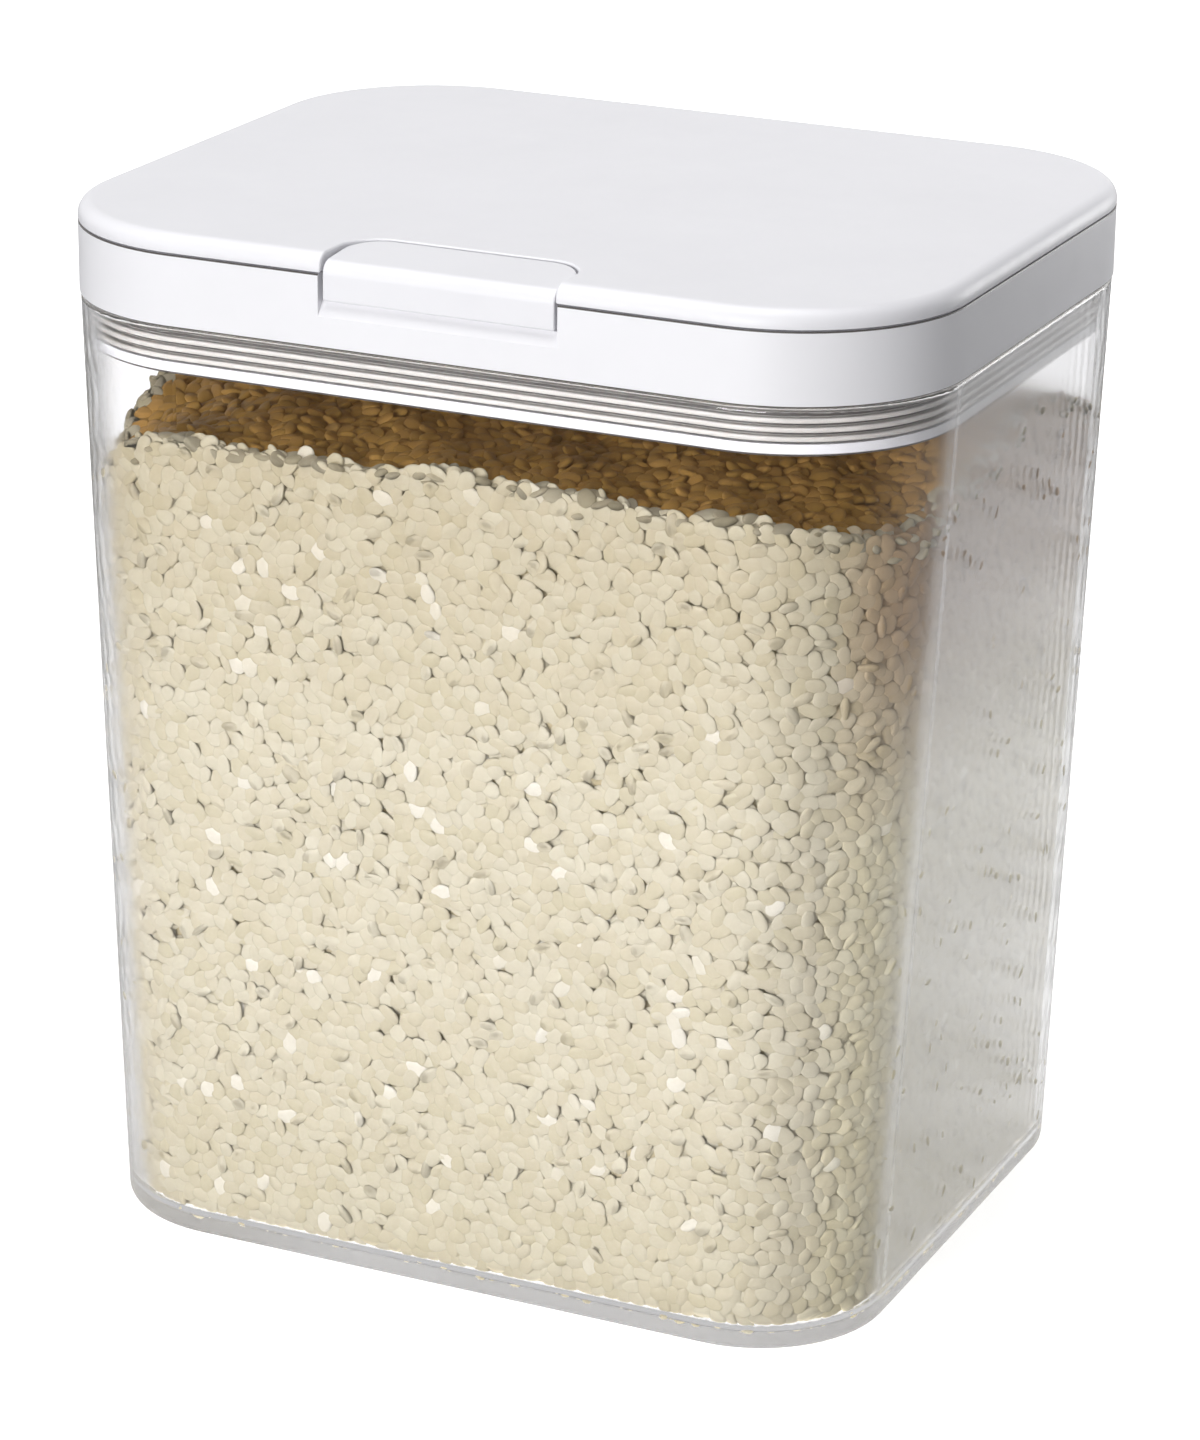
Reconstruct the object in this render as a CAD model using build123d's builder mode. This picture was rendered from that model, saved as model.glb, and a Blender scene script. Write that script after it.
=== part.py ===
"""Rice bin with a full-top flip cover, a lift-off lid ring and a front latch.

Millimetres. The origin is the centre of the base, +Z is up, the latch faces -Y
and the hinges are at +Y. Depths into the lid from its front face are written
as "behind the face", heights at the cover as "above the cover's lower edge".
"""

import os

from build123d import *

# Outline of the lid, shared by the ring and the flip cover
lid_width = 200.0
lid_depth = 160.0
lid_corner = 38.0

# Clear container, wider at its rim than at its base
container_height = 209.0
rim_inset = 0.3
base_side_draft = 9.0
base_face_draft = 3.3
base_corner = 30.0
container_wall = 2.4
container_floor = 3.0
base_edge_round = 2.5
floor_round = 4.0
rim_round = 0.8

# Lid ring: the band that shows, its deck, the pouring mouth and the plug skirt
rim_gap = 0.4
band_height = 15.6
band_wall = 2.2
band_top_round = 0.4
band_bottom_round = 0.4
deck_drop = 3.0
deck_thickness = 2.2
mouth_side_margin = 18.0
mouth_front_margin = 23.5
mouth_rear_margin = 14.5
mouth_corner = 26.0
collar_wall = 2.0
collar_above = 2.2
collar_below = 3.0
collar_round = 0.5
deck_rib_thickness = 1.4
deck_rib_drop = 2.4
deck_rib_spacing = 30.0
deck_ribs_wide = 5
deck_ribs_deep = 3
skirt_inset = 5.9
skirt_wall = 1.8
skirt_below_band = 10.8
ledge_inset = 3.5
ledge_height = 2.6
ledge_round = 0.7

# Finned silicone gasket between the skirt and the container
gasket_wall = 1.2
gasket_height = 7.1
fin_inset = 3.3
fin_count = 3
fin_thickness = 1.1
fin_pitch = 1.9
fin_first = 0.4
fin_round = 0.4

# Flip cover: outer shell and the liner that closes it from below
cover_gap = 0.3
cover_height = 4.0
cover_edge_round = 3.2
cover_foot_round = 0.2
cover_wall = 2.2
cover_plate = 2.0
rib_thickness = 1.2
rib_height = 0.35
rib_spacing = 44.0
rib_count = 3
liner_clearance = 0.25
liner_recess = 0.1
liner_thickness = 1.5
liner_cutout_side_gap = 1.9
liner_cutout_rear_gap = 0.7
liner_cutout_corner = 3.0
plug_inset = 1.9
plug_wall = 1.8
plug_depth = 7.0
plug_foot_round = 0.6

# Silicone seal of the pouring mouth, held in a groove round the liner's plug
groove_depth = 0.8
groove_top = 2.6
groove_height = 3.0
groove_clearance = 0.05
seal_wall = 1.0
seal_clearance = 0.3
lip_thickness = 0.8
lip_round = 0.3

# Front latch: a rocking lever in a notch of the cover, hooked into the ring
latch_width = 52.4
latch_rear = 17.1
latch_corner = 8.1
latch_set_back = 0.3
latch_below_seam = 5.9
latch_front_skin = 1.8
latch_top_skin = 1.4
latch_bend = 3.0
latch_bend_height = 2.3
latch_rear_height = 3.75
latch_top_round = 0.4
latch_cheek_wall = 1.6
latch_rib_spacing = 17.0
latch_cheek_depth = 3.2
latch_cheek_step = 0.6
latch_cheek_rear = 15.5
latch_edge_round = 0.5
barrel_radius = 1.5
barrel_set_back = 8.5
barrel_height = 1.4
latch_pin_radius = 0.8
latch_pin_clearance = 0.05
latch_pin_end_gap = 0.3
notch_side_gap = 0.4
notch_rear_gap = 0.5
notch_edge_round = 0.5
boss_width = 4.5
boss_depth = 4.8
boss_drop = 1.0
hook_reach = 1.2
hook_height = 1.3

# Recess in the ring for the latch, its finger scoop and its catch
recess_depth = 4.8
recess_side_gap = 0.9
recess_wall = 2.2
recess_floor_gap = 0.4
scoop_depth = 2.0
scoop_bottom = 9.2
recess_block_bottom = 11.4
recess_block_step = 8.6
catch_reach = 1.35
catch_end_gap = 4.6
catch_bottom = 4.3
catch_top = 3.5
catch_slope = 0.5

# Two rear hinges with steel pins
hinge_spacing = 96.0
hinge_set_out = 1.2
hinge_radius = 3.0
knuckle_width = 14.0
lug_width = 6.0
knuckle_gap = 0.3
knuckle_sweep_gap = 0.4
hinge_pin_radius = 1.2
hinge_pin_clearance = 0.05
lug_drop = 7.5
lug_root = 1.6
arm_rise = 2.8
arm_root = 1.8

# Widths, heights and places that follow from the sizes above
base_width = lid_width - 2 * base_side_draft
base_depth = lid_depth - 2 * base_face_draft
mouth_width = lid_width - 2 * mouth_side_margin
mouth_depth = lid_depth - mouth_front_margin - mouth_rear_margin
mouth_shift = (mouth_front_margin - mouth_rear_margin) / 2
band_bottom = container_height + rim_gap
band_top = band_bottom + band_height
deck_top = band_top - deck_drop
deck_bottom = deck_top - deck_thickness
skirt_bottom = band_bottom - skirt_below_band
ledge_top = skirt_bottom + ledge_height
seam = band_top + cover_gap
cover_top = seam + cover_height
front_face = -lid_depth / 2
rear_face = lid_depth / 2
latch_axis_y = front_face + barrel_set_back
latch_axis_z = seam + barrel_height
hinge_axis_y = rear_face + hinge_set_out
hinge_axis_z = band_top - hinge_radius
notch_width = latch_width + 2 * notch_side_gap
notch_depth = latch_rear + notch_rear_gap
notch_corner = latch_corner + notch_side_gap
recess_width = latch_width + 2 * recess_side_gap
pin_reach = notch_width / 2 + boss_width
catch_width = latch_width - 2 * (latch_cheek_wall + catch_end_gap)
liner_cutout_width = 2 * (pin_reach + liner_cutout_side_gap)
liner_cutout_depth = notch_depth + cover_wall + liner_cutout_rear_gap
gasket_bottom = ledge_top + 0.1
liner_bottom = seam + liner_recess
over_cut = 5.0


def lid_outline(inset, mode=Mode.ADD):
    """The lid's rounded outline, drawn in by inset, in the sketch that is open."""
    RectangleRounded(lid_width - 2 * inset, lid_depth - 2 * inset, lid_corner - inset, mode=mode)


def mouth_outline(inset, mode=Mode.ADD):
    """The pouring mouth's outline, drawn in by inset, in the sketch that is open."""
    with Locations((0, mouth_shift)):
        RectangleRounded(
            mouth_width - 2 * inset, mouth_depth - 2 * inset, mouth_corner - inset, mode=mode
        )


def front_notch(width, depth, corner, mode=Mode.ADD):
    """A notch from the front face with two round rear corners, in the sketch that is open."""
    with Locations((0, front_face - over_cut)):
        RectangleRounded(width, 2 * (depth + over_cut), corner, mode=mode)


def tapered_outline(height, inset):
    """The container's outline at a height, drawn in by inset, as width, depth and corner."""
    share = height / container_height
    width = base_width + (lid_width - 2 * rim_inset - base_width) * share
    depth = base_depth + (lid_depth - 2 * rim_inset - base_depth) * share
    corner = base_corner + (lid_corner - rim_inset - base_corner) * share
    return width - 2 * inset, depth - 2 * inset, corner - inset


def ring_band(bottom, height, outer_inset, inner_inset):
    """A closed band that follows the lid's outline, in the part that is open."""
    with BuildSketch(Plane.XY.offset(bottom)) as band:
        lid_outline(outer_inset)
        lid_outline(inner_inset, mode=Mode.SUBTRACT)
    extrude(band.sketch, amount=height)


def mouth_band(bottom, height, outer_inset, inner_inset, mode=Mode.ADD):
    """A closed band that follows the mouth's outline, in the part that is open."""
    with BuildSketch(Plane.XY.offset(bottom)) as band:
        mouth_outline(outer_inset)
        mouth_outline(inner_inset, mode=Mode.SUBTRACT)
    extrude(band.sketch, amount=height, mode=mode)


def rim_fillet(faces, width, radius):
    """Rounds the outer edges of those level faces that are at least this wide."""
    wide_faces = [face for face in faces if face.bounding_box().size.X > width - radius]
    fillet([edge for face in wide_faces for edge in face.outer_wire().edges()], radius)


def side_profile(points, width, mode=Mode.ADD):
    """A prism across the lid's width from (behind the face, above the seam) points."""
    places = [(front_face + behind, seam + above) for behind, above in points]
    with BuildSketch(Plane.YZ) as profile:
        with BuildLine():
            Polyline(*places, close=True)
        make_face()
    extrude(profile.sketch, amount=width / 2, both=True, mode=mode)


# Clear container: a tapered box with round corners, open at the top
with BuildPart() as container:
    with BuildSketch():
        RectangleRounded(*tapered_outline(0, 0))
    with BuildSketch(Plane.XY.offset(container_height)):
        RectangleRounded(*tapered_outline(container_height, 0))
    loft()
    fillet(container.edges().group_by(Axis.Z)[0], base_edge_round)
    with BuildSketch(Plane.XY.offset(container_floor)):
        RectangleRounded(*tapered_outline(container_floor, container_wall))
    with BuildSketch(Plane.XY.offset(container_height)):
        RectangleRounded(*tapered_outline(container_height, container_wall))
    loft(mode=Mode.SUBTRACT)
    inner_floor = container.faces().filter_by(Plane.XY).sort_by(Axis.Z)[1]
    fillet(inner_floor.edges(), floor_round)
    rim_face = container.faces().filter_by(Plane.XY).sort_by(Axis.Z)[-1]
    fillet(rim_face.edges(), rim_round)
container.part.label = "container"

# Lid ring: band, deck, mouth collar, plug skirt, latch recess and hinge lugs
lug_offset = (knuckle_width + lug_width) / 2 + knuckle_gap
with BuildPart() as lid_ring:
    with BuildSketch(Plane.XY.offset(band_bottom)):
        lid_outline(0)
    extrude(amount=band_height)
    fillet(lid_ring.edges().group_by(Axis.Z)[-1], band_top_round)
    fillet(lid_ring.edges().group_by(Axis.Z)[0], band_bottom_round)
    with BuildSketch(Plane.XY.offset(band_bottom)):
        lid_outline(band_wall)
    extrude(amount=deck_bottom - band_bottom, mode=Mode.SUBTRACT)
    with BuildSketch(Plane.XY.offset(deck_top)):
        lid_outline(band_wall)
    extrude(amount=deck_drop, mode=Mode.SUBTRACT)
    # Collar round the mouth, above and below the deck
    mouth_band(deck_bottom - collar_below, collar_below + deck_thickness + collar_above,
               -collar_wall, 0)
    with BuildSketch(Plane.XY.offset(deck_bottom)):
        mouth_outline(0)
    extrude(amount=deck_thickness, mode=Mode.SUBTRACT)
    collar_face = lid_ring.faces().filter_by(Plane.XY).sort_by(Axis.Z)[-2]
    fillet(collar_face.edges(), collar_round)
    # Ribs under the deck, from the collar to the skirt
    with BuildSketch(Plane.XY.offset(deck_bottom - deck_rib_drop)):
        with GridLocations(deck_rib_spacing, 0, deck_ribs_wide, 1):
            Rectangle(deck_rib_thickness, lid_depth - 2 * skirt_inset - skirt_wall)
        with GridLocations(0, deck_rib_spacing, 1, deck_ribs_deep):
            Rectangle(lid_width - 2 * skirt_inset - skirt_wall, deck_rib_thickness)
        mouth_outline(-collar_wall / 2, mode=Mode.SUBTRACT)
    extrude(amount=deck_rib_drop + deck_thickness / 2)
    # Plug skirt with the ledge that carries the gasket
    ring_band(skirt_bottom, deck_bottom - skirt_bottom, skirt_inset, skirt_inset + skirt_wall)
    ring_band(skirt_bottom, ledge_height, ledge_inset, skirt_inset + skirt_wall)
    ledge_face = lid_ring.faces().sort_by(Axis.Z)[0]
    fillet(ledge_face.outer_wire().edges(), ledge_round)
    # Wall behind the latch recess, hung under the deck
    side_profile(
        [
            (band_wall / 2, -recess_block_bottom),
            (recess_depth / 2, -recess_block_bottom),
            (recess_depth + recess_wall, -recess_block_step),
            (recess_depth + recess_wall, deck_bottom - seam + deck_thickness / 2),
            (band_wall / 2, deck_bottom - seam + deck_thickness / 2),
        ],
        recess_width + 2 * recess_wall,
    )
    # Recess for the latch, with the finger scoop sloping out to the face below it
    side_profile(
        [
            (-over_cut, -scoop_bottom),
            (0, -scoop_bottom),
            (scoop_depth, -latch_below_seam - recess_floor_gap),
            (recess_depth, -latch_below_seam - recess_floor_gap),
            (recess_depth, over_cut),
            (-over_cut, over_cut),
        ],
        recess_width,
        mode=Mode.SUBTRACT,
    )
    # Catch for the latch's hook
    side_profile(
        [
            (recess_depth + recess_wall / 2, -catch_bottom),
            (recess_depth - catch_reach, -catch_bottom),
            (recess_depth - catch_reach, -catch_bottom + catch_slope),
            (recess_depth, -catch_top + catch_slope / 2),
            (recess_depth + recess_wall / 2, -catch_top + catch_slope / 2),
        ],
        catch_width,
    )
    # Hinge lugs, with room between each pair for the cover's knuckle
    for hinge_x in (-hinge_spacing / 2, hinge_spacing / 2):
        for side in (-1, 1):
            with BuildSketch(Plane.YZ.offset(hinge_x + side * lug_offset)):
                with Locations((hinge_axis_y, hinge_axis_z)):
                    Circle(hinge_radius)
                with Locations((rear_face - lug_root / 2, band_top)):
                    Rectangle(lug_root / 2, lug_drop + hinge_radius, align=(Align.CENTER, Align.MAX))
                make_hull()
            extrude(amount=lug_width / 2, both=True)
        slot_width = knuckle_width + 2 * knuckle_gap
        with BuildSketch(Plane.YZ.offset(hinge_x)):
            with Locations((hinge_axis_y, hinge_axis_z)):
                Circle(hinge_radius + knuckle_sweep_gap)
            slot_front = hinge_axis_y - hinge_radius - knuckle_sweep_gap
            with Locations((slot_front, hinge_axis_z)):
                Rectangle(over_cut, over_cut, align=(Align.MIN, Align.MIN))
        extrude(amount=slot_width / 2, both=True, mode=Mode.SUBTRACT)
        with BuildSketch(Plane.YZ.offset(hinge_x)):
            with Locations((hinge_axis_y, hinge_axis_z)):
                Circle(hinge_pin_radius + hinge_pin_clearance)
        extrude(amount=lug_offset + lug_width, both=True, mode=Mode.SUBTRACT)
lid_ring.part.label = "lid_ring"

# Rim gasket: a silicone sleeve on the skirt with three fins
with BuildPart() as rim_gasket:
    ring_band(gasket_bottom, gasket_height, skirt_inset - gasket_wall, skirt_inset)
    for fin in range(fin_count):
        ring_band(gasket_bottom + fin_first + fin * fin_pitch, fin_thickness, fin_inset,
                  skirt_inset - gasket_wall / 2)
    rim_fillet(rim_gasket.faces().filter_by(Plane.XY), lid_width - 2 * fin_inset, fin_round)
rim_gasket.part.label = "rim_gasket"

# Cover shell: the full top with a soft edge, the latch notch and the hinge knuckles
with BuildPart() as cover_shell:
    with BuildSketch(Plane.XY.offset(seam)):
        lid_outline(0)
    extrude(amount=cover_height)
    fillet(cover_shell.edges().group_by(Axis.Z)[-1], cover_edge_round)
    fillet(cover_shell.edges().group_by(Axis.Z)[0], cover_foot_round)
    with BuildSketch(Plane.XY.offset(seam)):
        lid_outline(cover_wall)
        front_notch(notch_width + 2 * cover_wall, notch_depth + cover_wall,
                    notch_corner + cover_wall, mode=Mode.SUBTRACT)
    extrude(amount=cover_height - cover_plate, mode=Mode.SUBTRACT)
    # Low ribs under the plate
    with BuildSketch(Plane.XY.offset(cover_top - cover_plate - rib_height)):
        with GridLocations(rib_spacing, 0, rib_count, 1):
            with Locations((0, mouth_shift)):
                Rectangle(rib_thickness, mouth_depth)
        with Locations((0, mouth_shift)):
            Rectangle(mouth_width, rib_thickness)
    extrude(amount=rib_height + cover_plate / 2)
    # Bosses for the latch pin at both sides of the notch
    with BuildSketch(Plane.XY.offset(seam - boss_drop)):
        for side in (-1, 1):
            with Locations((side * (notch_width + boss_width) / 2, latch_axis_y)):
                Rectangle(boss_width, boss_depth)
    extrude(amount=boss_drop + cover_height - cover_plate / 2)
    with BuildSketch(Plane.XY.offset(seam - over_cut)):
        front_notch(notch_width, notch_depth, notch_corner)
    extrude(amount=cover_height + 2 * over_cut, mode=Mode.SUBTRACT)
    notch_edges = [
        edge
        for edge in cover_shell.edges().group_by(Axis.Z)[-1]
        if edge.center().Y < front_face + notch_depth + notch_corner
        and abs(edge.center().X) <= notch_width / 2 + notch_edge_round
    ]
    fillet(notch_edges, notch_edge_round)
    with BuildSketch(Plane.YZ):
        with Locations((latch_axis_y, latch_axis_z)):
            Circle(latch_pin_radius + latch_pin_clearance)
    extrude(amount=pin_reach, both=True, mode=Mode.SUBTRACT)
    # Hinge knuckles, each on an arm from the rear edge
    for hinge_x in (-hinge_spacing / 2, hinge_spacing / 2):
        with BuildSketch(Plane.YZ.offset(hinge_x)):
            with Locations((hinge_axis_y, hinge_axis_z)):
                Circle(hinge_radius)
            with Locations((rear_face - arm_root, seam)):
                Rectangle(arm_root, arm_rise - cover_gap, align=(Align.MIN, Align.MIN))
            make_hull()
        extrude(amount=knuckle_width / 2, both=True)
        with BuildSketch(Plane.YZ.offset(hinge_x)):
            with Locations((hinge_axis_y, hinge_axis_z)):
                Circle(hinge_pin_radius + hinge_pin_clearance)
        extrude(amount=knuckle_width, both=True, mode=Mode.SUBTRACT)
cover_shell.part.label = "cover_shell"

# Cover liner: closes the shell from below and carries the plug for the mouth
with BuildPart() as cover_liner:
    with BuildSketch(Plane.XY.offset(liner_bottom)):
        lid_outline(cover_wall + liner_clearance)
        front_notch(liner_cutout_width, liner_cutout_depth, liner_cutout_corner,
                    mode=Mode.SUBTRACT)
    extrude(amount=liner_thickness)
    mouth_band(seam - plug_depth, plug_depth + liner_recess, plug_inset, plug_inset + plug_wall)
    plug_foot = cover_liner.faces().sort_by(Axis.Z)[0]
    fillet(plug_foot.outer_wire().edges(), plug_foot_round)
    mouth_band(seam - groove_top - groove_height, groove_height, plug_inset,
               plug_inset + groove_depth, mode=Mode.SUBTRACT)
cover_liner.part.label = "cover_liner"

# Mouth seal: a silicone sleeve in the plug's groove with two lips
with BuildPart() as mouth_seal:
    seal_bottom = seam - groove_top - groove_height
    seal_inner = plug_inset + groove_depth - groove_clearance
    mouth_band(seal_bottom, groove_height, seal_inner - seal_wall, seal_inner)
    for lip_bottom in (seal_bottom, seal_bottom + groove_height - lip_thickness):
        mouth_band(lip_bottom, lip_thickness, seal_clearance, seal_inner - seal_wall / 2)
    lip_width = mouth_width - 2 * seal_clearance
    rim_fillet(mouth_seal.faces().filter_by(Plane.XY), lip_width, lip_round)
mouth_seal.part.label = "mouth_seal"

# Latch: a lever with a front skirt, a hook, side cheeks and a barrel on its pin
with BuildPart() as latch:
    skirt_foot = -latch_below_seam
    inner_face = latch_set_back + latch_front_skin
    with BuildSketch(Plane.YZ) as lever_profile:
        with BuildLine():
            Polyline(
                (front_face + latch_set_back, seam + skirt_foot),
                (front_face + latch_set_back, seam + latch_bend_height),
                (front_face + latch_rear, seam + latch_rear_height),
                (front_face + latch_rear, seam + latch_rear_height - latch_top_skin),
                (front_face + inner_face, seam + latch_bend_height - latch_top_skin),
                (front_face + inner_face, seam + skirt_foot + hook_height + hook_reach / 2),
                (front_face + inner_face + hook_reach, seam + skirt_foot + hook_height),
                (front_face + inner_face + hook_reach, seam + skirt_foot + latch_edge_round),
                (front_face + inner_face + hook_reach - latch_edge_round, seam + skirt_foot),
                close=True,
            )
        make_face()
        with Locations((latch_axis_y, latch_axis_z)):
            Circle(barrel_radius)
    extrude(amount=latch_width / 2, both=True)
    # Cheeks that close the ends under the top, and two ribs between them
    cheek_centre = (latch_width - latch_cheek_wall) / 2
    rib_centre = latch_rib_spacing / 2
    for wall_centre in (-cheek_centre, -rib_centre, rib_centre, cheek_centre):
        with BuildSketch(Plane.YZ.offset(wall_centre)):
            with BuildLine():
                Polyline(
                    (front_face + inner_face, seam + skirt_foot),
                    (front_face + latch_cheek_depth, seam + skirt_foot),
                    (front_face + latch_cheek_depth, seam - latch_cheek_step),
                    (front_face + barrel_set_back, seam + barrel_height - barrel_radius),
                    (front_face + latch_cheek_rear, seam + latch_rear_height - latch_top_skin),
                    (front_face + latch_cheek_rear, seam + latch_rear_height - latch_top_skin / 2),
                    (front_face + inner_face, seam + latch_bend_height - latch_top_skin / 2),
                    close=True,
                )
            make_face()
        extrude(amount=latch_cheek_wall / 2, both=True)
    # Round bend between the skirt and the top
    front_edges = latch.edges().filter_by(Axis.X).group_by(Axis.Y)[0].sort_by(Axis.Z)
    fillet(front_edges[-1], latch_bend)
    fillet(front_edges[0], latch_edge_round)
    # Rear corners follow the notch in plan
    with BuildSketch(Plane.XY.offset(seam - 2 * over_cut)):
        Rectangle(lid_width, lid_depth)
        with Locations((0, front_face - over_cut)):
            RectangleRounded(latch_width, 2 * (latch_rear + over_cut), latch_corner,
                             mode=Mode.SUBTRACT)
    extrude(amount=4 * over_cut, mode=Mode.SUBTRACT)
    # Soft edge round the top
    top_face = latch.faces().sort_by(Axis.Z)[-1]
    fillet([edge for edge in top_face.edges() if edge.center().Y > front_face + latch_bend * 2],
           latch_top_round)
    with BuildSketch(Plane.YZ):
        with Locations((latch_axis_y, latch_axis_z)):
            Circle(latch_pin_radius + latch_pin_clearance)
    extrude(amount=latch_width, both=True, mode=Mode.SUBTRACT)
latch.part.label = "latch"

# Steel pins: one through the latch, one through each hinge
with BuildPart() as latch_pin:
    with BuildSketch(Plane.YZ):
        with Locations((latch_axis_y, latch_axis_z)):
            Circle(latch_pin_radius)
    extrude(amount=pin_reach - latch_pin_end_gap, both=True)
latch_pin.part.label = "latch_pin"

hinge_pins = {}
for pin_name, hinge_x in (("hinge_pin_left", -hinge_spacing / 2),
                          ("hinge_pin_right", hinge_spacing / 2)):
    with BuildPart() as hinge_pin:
        with BuildSketch(Plane.YZ.offset(hinge_x)):
            with Locations((hinge_axis_y, hinge_axis_z)):
                Circle(hinge_pin_radius)
        extrude(amount=lug_offset + lug_width / 2, both=True)
    hinge_pin.part.label = pin_name
    hinge_pins[pin_name] = hinge_pin.part

pieces = [container.part, lid_ring.part, rim_gasket.part, cover_shell.part, cover_liner.part,
          mouth_seal.part, latch.part, latch_pin.part, *hinge_pins.values()]

os.makedirs("parts", exist_ok=True)
for piece in pieces:
    export_step(piece, f"parts/{piece.label}.step")
    size = piece.bounding_box().size
    print(f"{piece.label}: {size.X:.1f} x {size.Y:.1f} x {size.Z:.1f} mm")
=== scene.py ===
import math

import bpy
import numpy as np
from mathutils import Matrix, Vector

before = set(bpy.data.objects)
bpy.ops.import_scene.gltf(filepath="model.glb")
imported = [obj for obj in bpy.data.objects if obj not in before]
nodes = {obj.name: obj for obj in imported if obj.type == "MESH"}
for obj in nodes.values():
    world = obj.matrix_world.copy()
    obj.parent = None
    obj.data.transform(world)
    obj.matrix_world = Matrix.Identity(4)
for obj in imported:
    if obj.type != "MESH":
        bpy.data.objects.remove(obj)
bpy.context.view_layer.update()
scene = bpy.context.scene


# ---------------------------------------------------------------- materials

def new_material(name):
    """An empty node material with its output and a Principled shader."""
    mat = bpy.data.materials.new(name)
    mat.use_nodes = True
    tree = mat.node_tree
    tree.nodes.clear()
    out = tree.nodes.new("ShaderNodeOutputMaterial")
    bsdf = tree.nodes.new("ShaderNodeBsdfPrincipled")
    tree.links.new(bsdf.outputs["BSDF"], out.inputs["Surface"])
    return mat, tree, bsdf, out


def object_coords(tree, scale):
    """Object coordinates in metres, stretched by scale."""
    coord = tree.nodes.new("ShaderNodeTexCoord")
    mapping = tree.nodes.new("ShaderNodeMapping")
    mapping.inputs["Scale"].default_value = scale
    tree.links.new(coord.outputs["Object"], mapping.inputs["Vector"])
    return mapping.outputs["Vector"]


def feed(tree, socket, value):
    """Set a socket to a plain value, or link another node's output to it."""
    if isinstance(value, bpy.types.NodeSocket):
        tree.links.new(value, socket)
    else:
        socket.default_value = value


def axes(tree, vector):
    """The X, Y and Z outputs of a vector."""
    node = tree.nodes.new("ShaderNodeSeparateXYZ")
    tree.links.new(vector, node.inputs["Vector"])
    return node.outputs


def noise(tree, vector, scale, detail=2.0, rough=0.5):
    node = tree.nodes.new("ShaderNodeTexNoise")
    node.inputs["Scale"].default_value = scale
    node.inputs["Detail"].default_value = detail
    node.inputs["Roughness"].default_value = rough
    tree.links.new(vector, node.inputs["Vector"])
    return node.outputs["Fac"]


def spread(tree, value, low, high, from_low=0.0, from_high=1.0):
    """The value mapped from its own range to low and high, and held there outside it."""
    node = tree.nodes.new("ShaderNodeMapRange")
    node.inputs["From Min"].default_value = from_low
    node.inputs["From Max"].default_value = from_high
    node.inputs["To Min"].default_value = low
    node.inputs["To Max"].default_value = high
    tree.links.new(value, node.inputs["Value"])
    return node.outputs["Result"]


def math_node(tree, operation, a, b=0.0):
    node = tree.nodes.new("ShaderNodeMath")
    node.operation = operation
    for socket, value in zip(node.inputs, (a, b)):
        feed(tree, socket, value)
    return node.outputs[0]


def mix_colours(tree, a, b, factor, blend="MIX"):
    node = tree.nodes.new("ShaderNodeMix")
    node.data_type = "RGBA"
    node.blend_type = blend
    for label, value in (("Factor", factor), ("A", a), ("B", b)):
        feed(tree, node.inputs[label], value)
    return node.outputs["Result"]


def tinted(tree, colour, tint, factor=1.0):
    """The colour times the tint, as far as factor goes."""
    return mix_colours(tree, colour, tint, factor, "MULTIPLY")


def ramp(tree, value, stops):
    """A colour ramp with (place, colour) stops."""
    node = tree.nodes.new("ShaderNodeValToRGB")
    ends = node.color_ramp.elements
    while len(ends) < len(stops):
        ends.new(0.5)
    for element, (place, colour) in zip(ends, stops):
        element.position = place
        element.color = (*colour, 1.0)
    tree.links.new(value, node.inputs["Fac"])
    return node.outputs["Color"]


def bump(tree, height, strength, distance, normal=None):
    node = tree.nodes.new("ShaderNodeBump")
    node.inputs["Strength"].default_value = strength
    node.inputs["Distance"].default_value = distance
    tree.links.new(height, node.inputs["Height"])
    if normal is not None:
        tree.links.new(normal, node.inputs["Normal"])
    return node.outputs["Normal"]


WHITE = (1.0, 1.0, 1.0)

# Heights on the lid ring, in metres, where shade is painted: the slot above the gasket,
# where the rounds at the band's foot end, and where those at its head start
RING_SLOT = (0.2066, 0.2093)
BAND_FOOT = (0.20972, 0.20976)
BAND_HEAD = (0.22462, 0.22466)
SLOT_FADE = 0.001
SLOT_PAINTED_SHADE = (0.07, 0.068, 0.066)
EDGE_PAINTED_SHADE = (0.10, 0.09, 0.085, 1.0)


def paint_gap_shade(tree, metres, body):
    """The body colour with painted shade: deep grey in the slot above the gasket and on the rounds that
    edge the gaps.
    """
    z = axes(tree, metres)["Z"]
    low, high = RING_SLOT
    level = spread(tree, z, 0.0, 1.0, low - SLOT_FADE, high + SLOT_FADE)
    share = SLOT_FADE / (high - low + 2 * SLOT_FADE)
    slot = ramp(tree, level, [(share * 0.9, WHITE), (share, SLOT_PAINTED_SHADE),
                              (1 - share, SLOT_PAINTED_SHADE), (1 - share * 0.9, WHITE)])
    body = tinted(tree, body, slot)
    # Painted shade on the rounds, which face neither straight up or down nor straight out
    geometry = tree.nodes.new("ShaderNodeNewGeometry")
    tilt = math_node(tree, "ABSOLUTE", axes(tree, geometry.outputs["Normal"])["Z"])
    curved = math_node(tree, "MULTIPLY", spread(tree, tilt, 0.0, 1.0, 0.08, 0.25),
                       spread(tree, tilt, 1.0, 0.0, 0.94, 0.985))
    rims = math_node(tree, "ADD", spread(tree, z, 0.0, 1.0, *BAND_HEAD),
                     spread(tree, z, 1.0, 0.0, *BAND_FOOT))
    return mix_colours(tree, body, EDGE_PAINTED_SHADE, math_node(tree, "MULTIPLY", curved, rims))


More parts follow.
